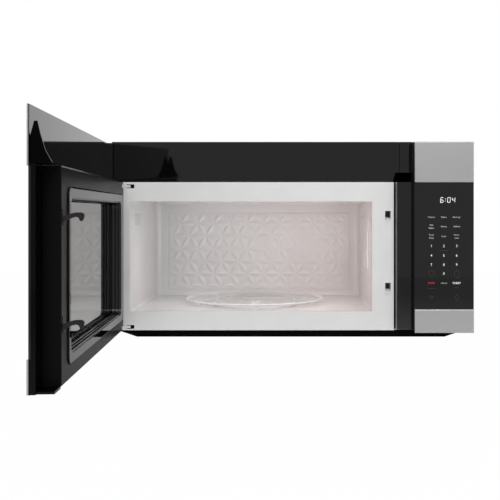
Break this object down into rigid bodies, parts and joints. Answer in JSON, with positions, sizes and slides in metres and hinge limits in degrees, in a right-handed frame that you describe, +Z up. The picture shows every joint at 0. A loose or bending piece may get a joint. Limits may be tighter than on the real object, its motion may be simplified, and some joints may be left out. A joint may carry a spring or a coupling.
{
  "type": "over the range microwave",
  "caption": "Over the range microwave with side-hinged full-height door swung open, painted cavity with turntable, finger pocket, touch controls and vent blower.",
  "frame": {"origin": "in the wall plane, at the middle of the rear panel", "axes": "+X to the right seen from the front, +Y towards the wall, +Z up"},
  "size_m": [0.7706, 0.9989, 0.4157],
  "materials": {
    "steel_skin": "brushed stainless, fine horizontal grain",
    "black_glass": "black backed tempered glass",
    "gloss_black": "glossy black moulding",
    "satin_black": "satin black moulding",
    "border_grey": "matt dark grey",
    "white_enamel": "white powder coat",
    "cavity_enamel": "warm off-white cavity paint",
    "black_enamel": "black powder coat, fine texture",
    "zinc_steel": "zinc plated steel sheet",
    "clear_glass": "clear tempered glass",
    "tinted_glass": "grey tinted glass",
    "mesh_aluminium": "layered expanded mesh",
    "white_plastic": "natural moulding",
    "grey_plastic": "grey moulding",
    "circuit": "circuit board with parts",
    "copper_iron": "laminated iron and varnished windings",
    "mica": "pressed mica sheet",
    "charcoal": "charcoal granules in a tray",
    "spring_steel": "spring wire"
  },
  "bodies": {
    "cabinet": {"front_frame": "white_enamel", "cavity_liner": "cavity_enamel", "chassis_base": "zinc_steel", "bottom_pan": "black_enamel", "grease_filter_left": "mesh_aluminium", "grease_filter_right": "mesh_aluminium", "outer_case": "black_enamel", "rear_panel": "zinc_steel", "vent_fascia": "gloss_black", "fascia_end": "gloss_black", "vent_grille": "satin_black", "charcoal_filter": "charcoal", "cord_gland": "satin_black", "case_screws": "zinc_steel", "control_frame": "satin_black", "control_trim_top": "steel_skin", "control_trim_bottom": "steel_skin", "control_glass": "black_glass", "control_board": "circuit", "pocket_panel": "gloss_black", "latch_cradle": "white_plastic", "door_switches": "grey_plastic", "waveguide": "zinc_steel", "waveguide_cover": "mica", "magnetron": "zinc_steel", "hv_transformer": "copper_iron", "hv_capacitor": "zinc_steel", "filter_board": "circuit", "turntable_motor": "zinc_steel", "blower_housing": "zinc_steel", "blower_motor": "zinc_steel", "fan_shroud": "zinc_steel", "cooling_motor": "zinc_steel", "lamp_lenses": "clear_glass", "cooktop_lamps": "circuit", "cavity_lamp": "white_plastic", "hinge_brackets": "zinc_steel"},
    "door": {"door_frame": "satin_black", "door_top_liner": "gloss_black", "door_trim_top": "steel_skin", "door_trim_bottom": "steel_skin", "door_glass": "black_glass", "door_inner_case": "border_grey", "choke_plate": "black_enamel", "choke_cover": "gloss_black", "window_pane": "tinted_glass", "hinge_bushes": "white_plastic", "latch_spring": "spring_steel"},
    "latch": {"latch_hooks": "grey_plastic"},
    "plunger_upper": {"plunger_upper": "white_plastic"},
    "plunger_middle": {"plunger_middle": "white_plastic"},
    "plunger_lower": {"plunger_lower": "white_plastic"},
    "turntable": {"turntable_coupler": "white_plastic", "glass_tray": "clear_glass"},
    "roller_ring": {"roller_ring": "white_plastic"},
    "roller_front": {"roller_front": "white_plastic"},
    "roller_left": {"roller_left": "white_plastic"},
    "roller_right": {"roller_right": "white_plastic"},
    "blower": {"blower_wheel": "satin_black"},
    "cooling_fan": {"cooling_fan": "satin_black"}
  },
  "joints": [
    {"name": "door_hinge", "type": "hinge", "parent": "cabinet", "child": "door", "pos_m": [-0.3656, -0.3781, -0.00675], "axis": [0, 0, 1], "range_deg": [-18, 87]},
    {"name": "latch_lift", "type": "slide", "parent": "door", "child": "latch", "axis": [0, 0, 1], "range_m": [0, 0.004], "stiffness_N_per_m": 300, "springref_m": -0.006},
    {"name": "switch_upper", "type": "slide", "parent": "cabinet", "child": "plunger_upper", "axis": [0, 1, 0], "range_m": [0, 0.0015], "stiffness_N_per_m": 150, "springref_m": -0.001},
    {"name": "switch_middle", "type": "slide", "parent": "cabinet", "child": "plunger_middle", "axis": [0, 1, 0], "range_m": [0, 0.0015], "stiffness_N_per_m": 150, "springref_m": -0.001},
    {"name": "switch_lower", "type": "slide", "parent": "cabinet", "child": "plunger_lower", "axis": [0, 1, 0], "range_m": [0, 0.0015], "stiffness_N_per_m": 150, "springref_m": -0.001},
    {"name": "turntable_spin", "type": "hinge", "parent": "cabinet", "child": "turntable", "pos_m": [-0.08415, -0.1854, -0.15275], "axis": [0, 0, 1], "continuous": true},
    {"name": "ring_spin", "type": "hinge", "parent": "cabinet", "child": "roller_ring", "pos_m": [-0.08415, -0.1854, -0.15275], "axis": [0, 0, 1], "continuous": true},
    {"name": "roller_front_spin", "type": "hinge", "parent": "roller_ring", "child": "roller_front", "pos_m": [0.00505, -0.1339, -0.15345], "axis": [0.866, 0.5, 0], "continuous": true},
    {"name": "roller_left_spin", "type": "hinge", "parent": "roller_ring", "child": "roller_left", "pos_m": [-0.17335, -0.1339, -0.15345], "axis": [-0.866, 0.5, 0], "continuous": true},
    {"name": "roller_right_spin", "type": "hinge", "parent": "roller_ring", "child": "roller_right", "pos_m": [-0.08415, -0.2884, -0.15345], "axis": [0, -1, 0], "continuous": true},
    {"name": "blower_spin", "type": "hinge", "parent": "cabinet", "child": "blower", "pos_m": [0, -0.0703, 0.14295], "axis": [1, 0, 0], "continuous": true},
    {"name": "cooling_fan_spin", "type": "hinge", "parent": "cabinet", "child": "cooling_fan", "pos_m": [0.275, -0.06, -0.02675], "axis": [0, 1, 0], "continuous": true}
  ],
  "couplings": [
    {"joint": "ring_spin", "follows": "turntable_spin", "ratio": 0.5},
    {"joint": "roller_front_spin", "follows": "turntable_spin", "ratio": -8.5833},
    {"joint": "roller_left_spin", "follows": "turntable_spin", "ratio": -8.5833},
    {"joint": "roller_right_spin", "follows": "turntable_spin", "ratio": -8.5833}
  ]
}
